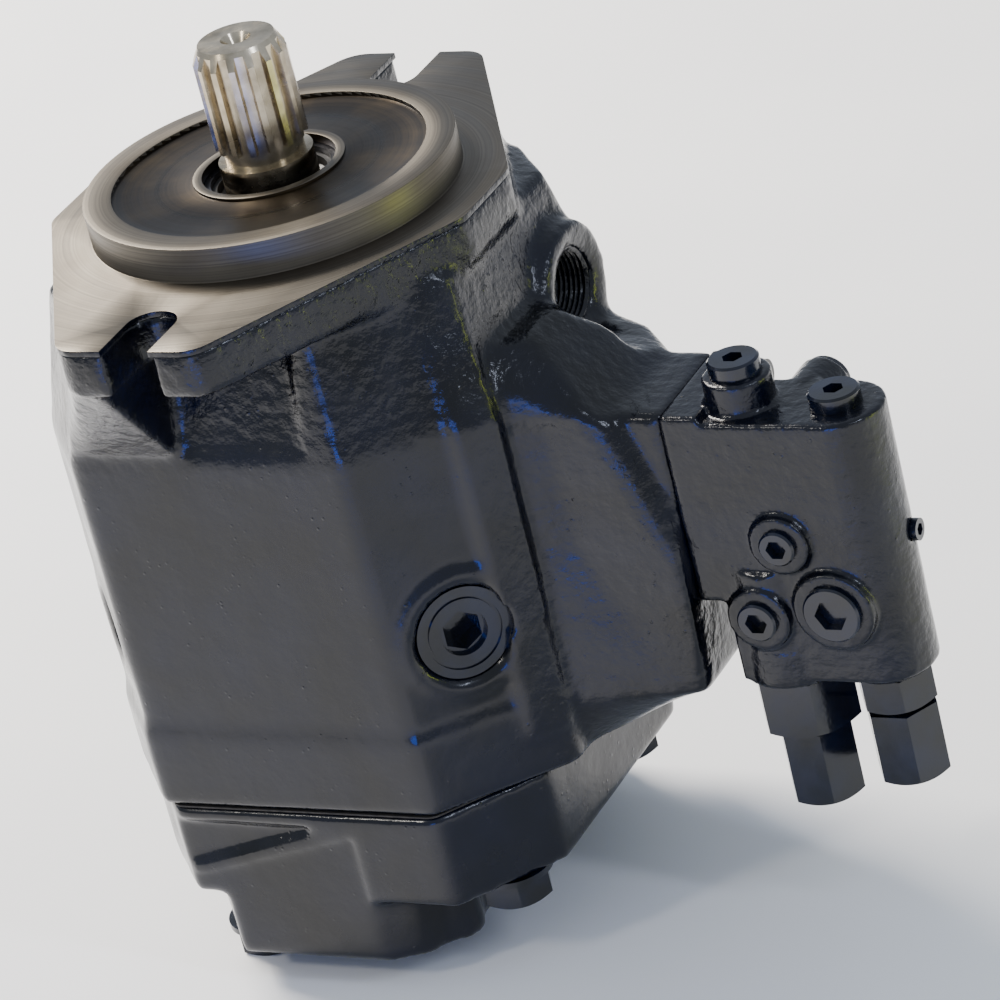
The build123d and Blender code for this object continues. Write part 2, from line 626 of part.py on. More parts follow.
def front_bearing_cone():
    """Inner ring, pressed on the shaft."""
    gap = -(TAPER_ROLLER_R + RUNNING)
    high = CUP_HIGH
    return turned_solid([(CONE_SEAT_R, CUP_LOW), (CONE_SEAT_R, high - 0.5), (taper_line(high - 0.5, gap), high - 0.5),
                         (taper_line(CUP_LOW, gap), CUP_LOW)])


def front_bearing_rollers():
    """Tapered-bearing rollers and their cage."""
    middle = (CUP_LOW + CUP_HIGH) / 2
    half = 5.6
    axis_frame = Pos(TAPER_MEAN_R, 0, middle) * Rot(0, -TAPER_ANGLE, 0)
    roller = axis_frame * rod(TAPER_ROLLER_R, -half, half)
    pocket = axis_frame * rod(TAPER_ROLLER_R + 0.15, -half - 0.3, half + 0.3)
    low, high = middle - 7.0, middle + 7.0
    cage = turned_solid([(taper_line(low, -0.5), low), (taper_line(low, 0.6), low),
                         (taper_line(high, 0.6), high), (taper_line(high, -0.5), high)])
    rollers = []
    for angle in around(TAPER_ROLLERS):
        rollers.append(Rot(0, 0, angle) * roller)
        cage -= Rot(0, 0, angle) * pocket
    return rollers + [cage]


def rear_bearing_outer():
    """Outer ring of the rear cylindrical roller bearing."""
    inner = REAR_INNER_R + 2 * REAR_ROLLER_R + 2 * RUNNING
    return ring(REAR_OUTER_R, inner, REAR_LOW, REAR_HIGH)


def rear_bearing_inner():
    """Inner ring, pressed on the rear journal."""
    return ring(REAR_INNER_R, REAR_JOURNAL_R, REAR_LOW, REAR_HIGH)


def rear_bearing_rollers():
    """Cylindrical rollers and their cage."""
    pitch = REAR_INNER_R + REAR_ROLLER_R + RUNNING
    low, high = REAR_LOW + 1.5, REAR_HIGH - 1.5
    cage = ring(pitch + 0.7, pitch - 0.7, low, high)
    rollers = []
    for angle in around(REAR_ROLLERS):
        turn = Rot(0, 0, angle)
        rollers.append(turn * rod(REAR_ROLLER_R, low + 1.5, high - 1.5, (pitch, 0)))
        cage -= turn * rod(REAR_ROLLER_R + 0.15, low + 1.2, high - 1.2, (pitch, 0))
    return rollers + [cage]


# ---- rotary group ------------------------------------------------------------------------------
def cylinder_barrel():
    """Barrel with nine bores, a splined neck and the chamber for its spring."""
    low = VALVE_TOP + RUNNING
    barrel = rod(BARREL_R, low, BARREL_TOP)
    barrel -= rod(BARREL_R - 7, BARREL_TOP - 0.01, BARREL_TOP + 1)
    for angle in around(PISTONS):
        turn = Rot(0, 0, angle)
        barrel -= turn * rod(BORE_R, low + BORE_FLOOR, BARREL_TOP + 1, (PITCH_R, 0))
        slot = Pos(KIDNEY_R, 0, low - 1) * extrude(SlotOverall(14, 7, rotation=90), amount=BORE_FLOOR + 2)
        barrel -= turn * slot
    neck_low = BARREL_TOP - 9
    spline = splined(SHAFT_BODY_R + 1.5, SHAFT_BODY_R + 0.1, SPLINE_TEETH, neck_low - 1, BARREL_TOP + 1)
    barrel -= spline
    barrel -= rod(SPRING_CHAMBER_R, SPRING_SEAT, neck_low)
    barrel -= rod(SPRING_CHAMBER_R + 1.4, SPRING_SEAT - 2, SPRING_SEAT)
    barrel -= rod(SPRING_CHAMBER_R - 1, low - 1, SPRING_SEAT - 2)
    for angle in around(3, 20):
        barrel -= Rot(0, 0, angle) * rod(1.7, neck_low - 1, BARREL_TOP + 1, (PUSH_PIN_CIRCLE_R, 0))
    return barrel


def retaining_ball():
    """Ball guide on the shaft spline that presses the retaining plate."""
    ball = Pos(0, 0, PIVOT_Z) * Sphere(RETAINING_BALL_R)
    ball &= rod(RETAINING_BALL_R + 1, PIVOT_Z - 14, PIVOT_Z + 7.4)
    ball += rod(16.8, BARREL_TOP + 5, PIVOT_Z - 8)
    return ball - splined(SHAFT_BODY_R + 1.5, SHAFT_BODY_R + 0.1, SPLINE_TEETH, BARREL_TOP, PIVOT_Z + 12)


def push_pins():
    """Three pins that carry the barrel spring's force to the retaining ball."""
    pin = rod(1.6, BARREL_TOP - 9, BARREL_TOP + 5, (PUSH_PIN_CIRCLE_R, 0))
    return [Rot(0, 0, angle) * pin for angle in around(3, 20)]


def spring_washers():
    """Seats of the barrel spring."""
    inner = SHAFT_BODY_R + 0.8
    return [ring(SPRING_CHAMBER_R - 0.1, inner, BARREL_TOP - 11, BARREL_TOP - 9),
            ring(SPRING_CHAMBER_R - 0.1, inner, SPRING_SEAT, SPRING_SEAT + 2)]


def barrel_snap_ring():
    """Snap ring under the barrel spring's lower seat."""
    clip = ring(SPRING_CHAMBER_R + 1.3, SPRING_CHAMBER_R - 2.5, SPRING_SEAT - 2, SPRING_SEAT)
    return clip - block((0, 30), (-2.5, 2.5), (SPRING_SEAT - 3, SPRING_SEAT + 1))


def barrel_spring():
    """Spring that holds the barrel on the valve plate."""
    return coil(SPRING_CHAMBER_R - 2.1, 1.5, SPRING_SEAT + 2, BARREL_TOP - 11, 5)


def valve_plate():
    """Plate with the suction and pressure kidneys."""
    plate = rod(VALVE_PLATE_R, JOINT_Z, VALVE_TOP)
    plate -= rod(REAR_OUTER_R - 3, JOINT_Z - 1, VALVE_TOP + 1)
    plate -= both_kidneys(JOINT_Z - 1, VALVE_TOP + 1)
    return plate - rod(VALVE_PIN_R, JOINT_Z - 1, VALVE_TOP + 1, VALVE_PIN_AT)


def slipper_frame(angle):
    """Frame at one ball centre, with local Z along the swash plate's normal."""
    turn = math.radians(angle)
    return TILT * Pos(SLIPPER_CIRCLE_R * math.cos(turn), SLIPPER_CIRCLE_R * math.sin(turn), 0)


def slipper(angle):
    """Slipper pad with the socket for its piston's ball."""
    pad = rod(SLIPPER_R, SLIPPER_FACE - SLIPPER_FLANGE, SLIPPER_FACE)
    pad += rod(COLLAR_R, -3.2, SLIPPER_FACE - SLIPPER_FLANGE)
    pad -= Sphere(BALL_R + RUNNING)
    pad -= rod(5.6, SLIPPER_FACE - 0.6, SLIPPER_FACE + 1)
    return slipper_frame(angle) * pad


def piston(angle):
    """Hollow piston with its ball end, parallel to the shaft."""
    body = rod(PISTON_R, -PISTON_LENGTH, -8.5)
    body -= rod(PISTON_R - 3.55, -PISTON_LENGTH - 1, -20)
    body += rod(3.9, -9, -3)
    body += Sphere(BALL_R)
    body -= rod(1.0, -21, BALL_R + 1)
    centre = slipper_frame(angle).position
    return Pos(centre.X, centre.Y, centre.Z) * body


def retaining_plate():
    """Plate that keeps the nine slippers on the swash plate."""
    low, high = 2.2, SLIPPER_FACE - SLIPPER_FLANGE - RUNNING
    plate = rod(PLATE_R - 0.5, low, high)
    for angle in around(PISTONS):
        plate -= Rot(0, 0, angle) * rod(COLLAR_R + 0.6, low - 1, high + 1, (SLIPPER_CIRCLE_R, 0))
    return TILT * (plate - Sphere(RETAINING_BALL_R + RUNNING))


# ---- swash plate -------------------------------------------------------------------------------
def swash_plate():
    """Swash plate with two cradle journals and an arm to each control piston."""
    low = SLIPPER_FACE + RUNNING
    high = low + PLATE_THICK
    plate = rod(PLATE_R, low, high) & block((-60, 60), (-CRADLE_IN, CRADLE_IN), (0, 40))
    journals = rod_y(CRADLE_R, -CRADLE_OUT, CRADLE_OUT, 0, 0) & block((-60, 60), (-60, 60), (low, 60))
    journals -= block((-60, 60), (-CRADLE_IN, CRADLE_IN), (high, 60))
    plate += journals
    for start, end, pad in ((36, STROKING_X + 8, STROKING_X - 10), (-36, BIAS_X - 4, BIAS_X + 4.5)):
        plate += block(sorted((start, end)), (-ARM_HALF, ARM_HALF), (low, high - 6))
        plate += block(sorted((pad, end)), (-ARM_HALF, ARM_HALF), (0, low + 1))
    plate -= rod(20.5, 0, 60)
    plate -= Pos(0, 0, high) * Cone(20.5, 27, 14)
    return TILT * plate


def cradle_shells():
    """Two bearing shells that the swash plate swings on."""
    shell = rod_y(CRADLE_R + CRADLE_SHELL, CRADLE_IN + 2, CRADLE_OUT - 2, 0, PIVOT_Z)
    shell -= rod_y(CRADLE_R + RUNNING, CRADLE_IN, CRADLE_OUT, 0, PIVOT_Z)
    shell &= block((-60, 60), (-60, 60), (PIVOT_Z + 20, 0))
    return [shell, Rot(0, 0, 180) * shell]


def domed_piston(radius, dome_radius, dome_z, bottom, at):
    """Control piston with a domed head."""
    body = rod(radius, bottom, dome_z + dome_radius, at)
    head = Pos(at[0], at[1], dome_z) * Sphere(dome_radius)
    return body & (head + rod(radius + 1, bottom - 1, dome_z, at))


def stroking_piston():
    """Piston that swings the swash plate towards zero stroke."""
    at = (STROKING_X, 0)
    bottom = STROKING_BORE_BOTTOM + 12
    body = domed_piston(STROKING_R, STROKING_DOME_R, STROKING_Z, bottom, at)
    return body - rod(STROKING_R - 4, bottom - 1, STROKING_Z - 13, at)


def stroking_sleeve():
    """Liner in which the stroking piston slides."""
    at = (STROKING_X, 0)
    return ring(STROKING_R + SLEEVE_WALL, STROKING_R + SLIDING, STROKING_BORE_BOTTOM, SLEEVE_TOP, at)


def bias_piston():
    """Hollow piston pushed by the bias spring."""
    at = (BIAS_X, 0)
    bottom = BIAS_BORE_BOTTOM + 26
    body = domed_piston(BIAS_R, BIAS_DOME_R, BIAS_Z, bottom, at)
    return body - rod(BIAS_R - BIAS_WALL, bottom - 1, BIAS_SPRING_TOP, at)


def bias_spring():
    """Spring that holds the swash plate at full stroke."""
    return coil(BIAS_R - BIAS_WALL - 1, 0.65, BIAS_BORE_BOTTOM, BIAS_SPRING_TOP, 11, (BIAS_X, 0))


# ---- plugs -------------------------------------------------------------------------------------
def socket_plug(flange_r, flange_h, shank_r, shank_l, across_flats, depth):
    """Screw plug with a hexagon socket; local Z points out of its port."""
    plug = rod(flange_r, 0, flange_h) + rod(shank_r, -shank_l, 0)
    plug = chamfer(plug.edges().filter_by(GeomType.CIRCLE).sort_by(Axis.Z)[-1], min(0.6, flange_h / 3))
    return plug - hexagon(across_flats, flange_h - depth, flange_h + 1)


def drain_plug():
    """Plug in the case drain port that isn't used."""
    plug = rod(PORT_THREAD_R, -13, 0.4)
    plug -= ring(PORT_THREAD_R - 2.5, PORT_THREAD_R - 3.4, -0.2, 1)
    plug -= rod(6.6, -1.2, 1)
    plug -= hexagon(10, -8, 0)
    return RIGHT_PORT * plug


# ---- control block -----------------------------------------------------------------------------
def control_block():
    """Valve block with two parallel spool bores."""
    front, back = SPOOL_Y - BLOCK_HALF_THICK, SPOOL_Y + BLOCK_HALF_THICK
    near, far = SPOOL_X
    body = block((PAD_X, far), (front, back), (BLOCK_BOTTOM, BLOCK_TOP))
    body += rod(BLOCK_HALF_THICK, BLOCK_BOTTOM, BLOCK_TOP, (far, SPOOL_Y))
    body -= block((PAD_X - 1, near - 11), (front - 1, back + 1), (BLOCK_BOTTOM - 1, PAD_Z[0]))
    body += block((PAD_X, PAD_X + 11), (front, PAD_Y[1]), PAD_Z)
    body += rod(14.6, BLOCK_BOTTOM, BLOCK_BOTTOM + 33, (near, SPOOL_Y))
    body += rod(9.3, BLOCK_TOP - 6, TOWER_TOP, (near, SPOOL_Y))
    body += rod(15, BLOCK_BOTTOM - 1.5, BLOCK_BOTTOM + 9, (near, SPOOL_Y)) & block(
        (PAD_X, far), (front - 3, back + 3), (BLOCK_BOTTOM - 3, BLOCK_BOTTOM + 20))
    body += rod(11.2, BLOCK_BOTTOM - 1.5, BLOCK_BOTTOM, (far, SPOOL_Y))
    body += rod_y(7.5, back - 2, back + 11, *SIGNAL_PORT_AT)
    for x, z, radius in FACE_PLUGS:
        body += rod_y(radius + 3.4, front - 2.5, front + 2, x, z)
    for index, x in enumerate(SPOOL_X):
        top = (TOWER_TOP, BLOCK_TOP)[index]
        at = (x, SPOOL_Y)
        body -= rod(SPOOL_R + SLIDING, BLOCK_BOTTOM - 2, top + 1, at)
        body -= rod(SPOOL_R + 1, top - 9, top + 1, at)
        body -= rod(CHAMBER_R, BLOCK_BOTTOM - 2, BLOCK_BOTTOM + 18, at)
    for x, z, radius in FACE_PLUGS:
        body -= rod_y(radius - 2, front - 4, front + 5, x, z)
    body -= rod_y(4.6, back + 3, back + 12, *SIGNAL_PORT_AT)
    end = far + BLOCK_HALF_THICK
    body -= rod_x(3, end - 5, end + 2, SPOOL_Y + 3, BALL_PLUG_Z)
    for y, z in block_screw_places():
        body -= rod_x(SCREW_R + 0.3, PAD_X - 1, PAD_X + 12, y, z)
    return body


def block_seal():
    """Seal ring about the control channel, let into the pad's face."""
    return rod_x(4.0, PAD_X - 1.4, PAD_X, 0, CHANNEL_Z) - rod_x(2.6, PAD_X - 2, PAD_X + 1, 0, CHANNEL_Z)


def block_screws():
    """Four socket-head screws that hold the block."""
    screws = []
    for y, z in block_screw_places():
        head_x = PAD_X + 11
        screw = rod_x(SCREW_R, PAD_X - 11, head_x, y, z) + rod_x(4.5, head_x, head_x + 6, y, z)
        socket = Pos(head_x + 3, y, z) * Rot(0, 90, 0) * hexagon(5, 0, 4)
        screws.append(screw - socket)
    return screws


def spool(x, low, high):
    """Grooved control spool with the stem that its spring bears on."""
    at = (x, SPOOL_Y)
    body = rod(SPOOL_R, low, high, at)
    land = (high - low) / 5
    for step in (1, 3):
        body -= ring(SPOOL_R + 1, SPOOL_R - 1.4, low + land * step, low + land * (step + 0.8), at)
    return body + rod(CHAMBER_R - 1, low - 2, low, at)


def spool_heights(index):
    """Lower and upper end of a spool."""
    top = (TOWER_TOP, BLOCK_TOP)[index]
    return BLOCK_BOTTOM + 15.0, top - 13.0


def spool_springs():
    """Springs that set the pressure and the flow."""
    return [coil(CHAMBER_R - 2.2, 0.9, BLOCK_BOTTOM - 3, spool_heights(index)[0] - 2, 4, (x, SPOOL_Y))
            for index, x in enumerate(SPOOL_X)]


def adjuster_body(index):
    """Hexagonal screw-in body that closes a spring chamber."""
    at = (SPOOL_X[index], SPOOL_Y)
    foot = ADJUSTER_SEAT - ADJUSTER_LENGTH[index]
    body = hex_head(ADJUSTER_HEX[index], foot, ADJUSTER_SEAT, at)
    body += rod(CHAMBER_R, ADJUSTER_SEAT, BLOCK_BOTTOM + 8, at)
    body += rod(6.6, foot - 3, ADJUSTER_SEAT - 1, at)
    body -= rod(CHAMBER_R - 0.8, ADJUSTER_SEAT - 3, BLOCK_BOTTOM + 9, at)
    return body - rod(SETTING_SCREW_R, foot - 4, ADJUSTER_SEAT, at)


def cap_bottom(index):
    """Lowest height of a cap nut."""
    return ADJUSTER_SEAT - ADJUSTER_LENGTH[index] - 1.2 - CAP_LENGTH[index]


def cap_nuts():
    """Two tall hexagon caps over the adjusting screws."""
    caps = []
    for index, x in enumerate(SPOOL_X):
        at = (x, SPOOL_Y)
        low = cap_bottom(index)
        high = low + CAP_LENGTH[index]
        cap = hex_head(CAP_HEX[index], low, high, at)
        cap -= rod(6.6, low + 6, high + 1, at)
        caps.append(cap)
    return caps


def adjusting_screws():
    """Setting screws, each with the disc that its spring stands on."""
    screws = []
    for index, x in enumerate(SPOOL_X):
        at = (x, SPOOL_Y)
        low = cap_bottom(index) + 8
        disc = BLOCK_BOTTOM - 3
        screw = rod(SETTING_SCREW_R, low, disc - 1, at) + rod(CHAMBER_R - 1.2, disc - 1.5, disc, at)
        screws.append(screw - hexagon(3, low - 1, low + 4, at))
    return screws


def lock_nuts():
    """Nuts that lock the setting screws."""
    nuts = []
    for index, x in enumerate(SPOOL_X):
        at = (x, SPOOL_Y)
        high = cap_bottom(index) + CAP_LENGTH[index] - 1.8
        nut = rod(6.0, high - 4, high, at) & hexagon(11, high - 4, high, at)
        nuts.append(nut - rod(SETTING_SCREW_R, high - 5, high + 1, at))
    return nuts


def block_plugs():
    """Two plugs on top of the spool bores and the load-sensing port's plug."""
    plugs = []
    for index, x in enumerate(SPOOL_X):
        top = (TOWER_TOP, BLOCK_TOP)[index]
        plugs.append(Pos(x, SPOOL_Y, top) * socket_plug(7.0, 4.2, SPOOL_R + 1, 8, 5, 4))
    back = SPOOL_Y + BLOCK_HALF_THICK + 11
    x, z = SIGNAL_PORT_AT
    plugs.append(Pos(x, back, z) * Rot(-90, 0, 0) * socket_plug(6.6, 2.5, 4.6, 7, 5, 4))
    return plugs


def face_plugs():
    """Plugs in the block's front face and the small one at its far end."""
    front = SPOOL_Y - BLOCK_HALF_THICK - 2.5
    plugs = []
    for x, z, radius in FACE_PLUGS:
        plugs.append(Pos(x, front, z) * Rot(90, 0, 0) * socket_plug(radius, 1.6, radius - 2, 7, radius, 3))
    end = SPOOL_X[1] + BLOCK_HALF_THICK
    plugs.append(Pos(end, SPOOL_Y + 3, BALL_PLUG_Z) * Rot(0, 90, 0) * (rod(3, -5, 1.5) - hexagon(3, 0, 2)))
    return plugs


# ---- writing -----------------------------------------------------------------------------------
def pieces():
    """Every node's name with its solid or solids."""
    made = {
        "pump_housing": pump_housing(),
        "port_plate": port_plate(),
        "port_plate_gasket": port_plate_gasket(),
        "port_plate_bolts": port_plate_bolts(),
        "dowel_pins": dowel_pins(),
        "drive_shaft": drive_shaft(),
        "shaft_seal": shaft_seal(),
        "seal_circlip": seal_circlip(),
        "front_bearing_cup": front_bearing_cup(),
        "front_bearing_cone": front_bearing_cone(),
        "front_bearing_rollers": front_bearing_rollers(),
        "rear_bearing_outer": rear_bearing_outer(),
        "rear_bearing_inner": rear_bearing_inner(),
        "rear_bearing_rollers": rear_bearing_rollers(),
        "cylinder_barrel": cylinder_barrel(),
        "retaining_ball": retaining_ball(),
        "push_pins": push_pins(),
        "spring_washers": spring_washers(),
        "barrel_snap_ring": barrel_snap_ring(),
        "barrel_spring": barrel_spring(),
        "valve_plate": valve_plate(),
        "retaining_plate": retaining_plate(),
        "swash_plate": swash_plate(),
        "cradle_shells": cradle_shells(),
        "stroking_piston": stroking_piston(),
        "stroking_sleeve": stroking_sleeve(),
        "bias_piston": bias_piston(),
        "bias_spring": bias_spring(),
        "drain_plug": drain_plug(),
        "control_block": control_block(),
        "block_seal": block_seal(),
        "block_screws": block_screws(),
        "pressure_spool": spool(SPOOL_X[0], *spool_heights(0)),
        "flow_spool": spool(SPOOL_X[1], *spool_heights(1)),
        "spool_springs": spool_springs(),
        "pressure_adjuster_body": adjuster_body(0),
        "flow_adjuster_body": adjuster_body(1),
        "adjusting_screws": adjusting_screws(),
        "lock_nuts": lock_nuts(),
        "cap_nuts": cap_nuts(),
        "block_plugs": block_plugs(),
        "face_plugs": face_plugs(),
    }
    for number, angle in enumerate(around(PISTONS), start=1):
        made[f"piston_{number}"] = piston(angle)
        made[f"slipper_{number}"] = slipper(angle)
    return made


def write(name, shape):
    """One STEP file for a node, with each of its solids apart."""
    solids = []
    for piece in shape if isinstance(shape, list) else [shape]:
        solids.extend(piece.solids())
    export_step(solids[0] if len(solids) == 1 else Compound(children=solids), f"parts/{name}.step")


os.makedirs("parts", exist_ok=True)
for node_name, node_shape in pieces().items():
    write(node_name, node_shape)
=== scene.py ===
"""Looks of the axial piston pump: cast bodies, machined faces, plugs, finishes, light and camera."""

import json
import logging
import math
from dataclasses import dataclass, field
from enum import Enum
from typing import Callable, Iterable, Optional, Sequence

import bmesh
import bpy
from mathutils import Matrix, Vector

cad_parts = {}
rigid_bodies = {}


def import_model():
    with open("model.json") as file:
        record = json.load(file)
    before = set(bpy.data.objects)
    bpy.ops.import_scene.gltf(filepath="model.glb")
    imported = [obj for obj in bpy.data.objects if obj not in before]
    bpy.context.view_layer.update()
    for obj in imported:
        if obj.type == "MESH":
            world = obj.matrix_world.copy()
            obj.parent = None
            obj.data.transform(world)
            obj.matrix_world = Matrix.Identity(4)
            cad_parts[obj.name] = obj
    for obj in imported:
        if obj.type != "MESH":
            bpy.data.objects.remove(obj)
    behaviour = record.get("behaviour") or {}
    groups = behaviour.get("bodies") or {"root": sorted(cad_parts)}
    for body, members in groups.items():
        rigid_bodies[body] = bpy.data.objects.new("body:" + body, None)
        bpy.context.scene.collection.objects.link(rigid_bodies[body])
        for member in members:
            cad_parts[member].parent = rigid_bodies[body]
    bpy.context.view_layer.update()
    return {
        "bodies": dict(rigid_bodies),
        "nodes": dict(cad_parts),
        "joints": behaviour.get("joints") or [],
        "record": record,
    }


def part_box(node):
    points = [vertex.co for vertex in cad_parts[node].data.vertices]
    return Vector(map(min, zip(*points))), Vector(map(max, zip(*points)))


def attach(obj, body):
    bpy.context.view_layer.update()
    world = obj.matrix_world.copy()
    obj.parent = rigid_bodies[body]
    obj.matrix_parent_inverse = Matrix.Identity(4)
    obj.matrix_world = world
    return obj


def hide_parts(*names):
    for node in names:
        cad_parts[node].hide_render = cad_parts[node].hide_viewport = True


LOG = logging.getLogger("pump")
MM = 0.001
Point = tuple[float, float, float]
Profile = Sequence[tuple[float, float]]


# ---- colours and shader nodes ------------------------------------------------------------------
def linear(hex_colour: str) -> tuple[float, float, float, float]:
    """Turns an sRGB hex colour into a linear one.

    Args:
        hex_colour: six hexadecimal digits, with or without a leading #.

    Returns:
        Red, green, blue and alpha for a shader socket.
    """
    digits = hex_colour.lstrip("#")
    channels = [int(digits[i:i + 2], 16) / 255 for i in (0, 2, 4)]
    red, green, blue = [c / 12.92 if c <= 0.04045 else ((c + 0.055) / 1.055) ** 2.4 for c in channels]
    return red, green, blue, 1.0


def per_mm(size_mm: float) -> float:
    """Scale of a pattern on metre coordinates whose features are size_mm across."""
    return 1.0 / (size_mm * MM)


def add(material: bpy.types.Material, kind: str, inputs: Optional[dict] = None, **settings) -> bpy.types.Node:
    """Adds one shader node with its settings and links.

    Args:
        material: the material whose tree gets the node.
        kind: the node's type name without its ShaderNode prefix.
        inputs: socket name or number to a value or to the output socket that feeds it.
        settings: attributes of the node.

    Returns:
        The new node.
    """
    tree = material.node_tree
    node = tree.nodes.new("ShaderNode" + kind)
    for name, value in settings.items():
        setattr(node, name, value)
    for key, value in (inputs or {}).items():
        if isinstance(value, bpy.types.NodeSocket):
            tree.links.new(value, node.inputs[key])
        else:
            node.inputs[key].default_value = value
    return node


def blank(name: str) -> bpy.types.Material:
    """An empty node material."""
    material = bpy.data.materials.new(name)
    material.use_nodes = True
    material.node_tree.nodes.clear()
    return material


def close(material: bpy.types.Material, shader: bpy.types.Node) -> bpy.types.Material:
    """Links the shader to the material's output."""
    add(material, "OutputMaterial", {"Surface": shader.outputs[0]})
    return material


def two_tone(material: bpy.types.Material, driver: bpy.types.NodeSocket, low: str, high: str,
             low_at: float = 0.35, high_at: float = 0.65) -> bpy.types.NodeSocket:
    """Colour ramp between two hex colours.

    Args:
        material: the material that gets the ramp.
        driver: the value that runs along the ramp.
        low: colour at and below low_at.
        high: colour at and above high_at.
        low_at: place of the first colour.
        high_at: place of the second colour.

    Returns:
        The ramp's colour socket.
    """
    ramp = add(material, "ValToRGB", {"Fac": driver})
    ramp.color_ramp.elements[0].position = low_at
    ramp.color_ramp.elements[0].color = linear(low)
    ramp.color_ramp.elements[1].position = high_at
    ramp.color_ramp.elements[1].color = linear(high)
    return ramp.outputs["Color"]


def spread(material: bpy.types.Material, value: bpy.types.NodeSocket, low: float, high: float,
           start: float = 0.3, end: float = 0.7) -> bpy.types.NodeSocket:
    """Maps start..end of a value onto low..high and returns the result's socket."""
    node = add(material, "MapRange", {"Value": value, "From Min": start, "From Max": end,
                                      "To Min": low, "To Max": high})
    return node.outputs["Result"]


def noise(material: bpy.types.Material, where: bpy.types.NodeSocket, size_mm: float,
          detail: float = 2.0) -> bpy.types.NodeSocket:
    """Noise whose blotches are about size_mm across."""
    node = add(material, "TexNoise", {"Vector": where, "Scale": per_mm(size_mm), "Detail": detail})
    return node.outputs["Fac"]


def bump(material: bpy.types.Material, height: bpy.types.NodeSocket, depth_mm: float, strength: float,
         before: Optional[bpy.types.NodeSocket] = None) -> bpy.types.NodeSocket:
    """Bump of a real depth, on top of an earlier one when that is given."""
    node = add(material, "Bump", {"Height": height, "Distance": depth_mm * MM, "Strength": strength})
    if before is not None:
        material.node_tree.links.new(before, node.inputs["Normal"])
    return node.outputs["Normal"]


# ---- finishes ----------------------------------------------------------------------------------
@dataclass(frozen=True)
class EnamelOverCasting:
    """Gloss black enamel sprayed thick over sand-cast iron: wet highlights that break up over the sand's
    lumps, with a navy cast in the black and dust nibs caught in the film."""

    name: str = "gloss_enamel_over_cast_iron"
    low: str = "#020306"
    high: str = "#060b1a"
    roughness: tuple[float, float] = (0.13, 0.30)
    shine: float = 0.36
    calm: float = 0.16
    under_flange: tuple[float, float] = (-0.058, -0.036)
    fairing_side: tuple[float, float] = (0.058, 0.070)
    fairing_share: float = 0.75
    lump_mm: float = 3.6
    lump_depth_mm: float = 0.75
    peel_mm: float = 1.5
    nib_mm: float = 2.6

    def make(self) -> bpy.types.Material:
        """Builds the node material."""
        m = blank(self.name)
        where = add(m, "TexCoord").outputs["Object"]
        tone = noise(m, where, 30.0, 3.0)
        split = add(m, "SeparateXYZ", {"Vector": where})
        below = spread(m, split.outputs["Z"], self.calm, 1.0, *self.under_flange)
        beside = spread(m, split.outputs["X"], self.calm, self.fairing_share, *self.fairing_side)
        rough_zone = add(m, "Math", {0: below, 1: beside}, operation="MAXIMUM").outputs["Value"]
        peel = bump(m, noise(m, where, self.peel_mm, 1.0), 0.10, 0.30)
        lumps = add(m, "Bump", {"Height": noise(m, where, self.lump_mm, 4.0), "Normal": peel,
                                "Distance": self.lump_depth_mm * MM, "Strength": rough_zone})
        cells = add(m, "TexVoronoi", {"Vector": where, "Scale": per_mm(self.nib_mm)}, feature="F1")
        dots = spread(m, cells.outputs["Distance"], 1.0, 0.0, 0.05, 0.22)
        few = spread(m, noise(m, where, 9.0, 2.0), 0.0, 1.0, 0.50, 0.62)
        nibs = add(m, "Math", {0: dots, 1: few}, operation="MULTIPLY").outputs["Value"]
        normal = bump(m, nibs, 0.22, 0.55, lumps.outputs["Normal"])
        shader = add(m, "BsdfPrincipled", {
            "Base Color": two_tone(m, tone, self.low, self.high),
            "Roughness": spread(m, noise(m, where, 14.0, 3.0), *self.roughness),
            "Normal": normal, "IOR": 1.5, "Specular IOR Level": self.shine,
            "Coat Weight": 0.12, "Coat Roughness": 0.03})
        return close(m, shader)


@dataclass(frozen=True)
class EnamelOverSteel:
    """Gloss black enamel over turned and hexagon steel: smoother than on the casting, bluish where it
    catches the light."""

    name: str = "gloss_enamel_over_steel"
    low: str = "#030508"
    high: str = "#0a1326"
    peel_mm: float = 1.2

    def make(self) -> bpy.types.Material:
        """Builds the node material."""
        m = blank(self.name)
        where = add(m, "TexCoord").outputs["Object"]
        shader = add(m, "BsdfPrincipled", {
            "Base Color": two_tone(m, noise(m, where, 12.0, 3.0), self.low, self.high),
            "Roughness": spread(m, noise(m, where, 6.0, 2.0), 0.10, 0.24),
            "Normal": bump(m, noise(m, where, self.peel_mm, 2.0), 0.09, 0.35),
            "IOR": 1.5, "Specular IOR Level": 0.45, "Coat Weight": 0.2, "Coat Roughness": 0.04})
        return close(m, shader)


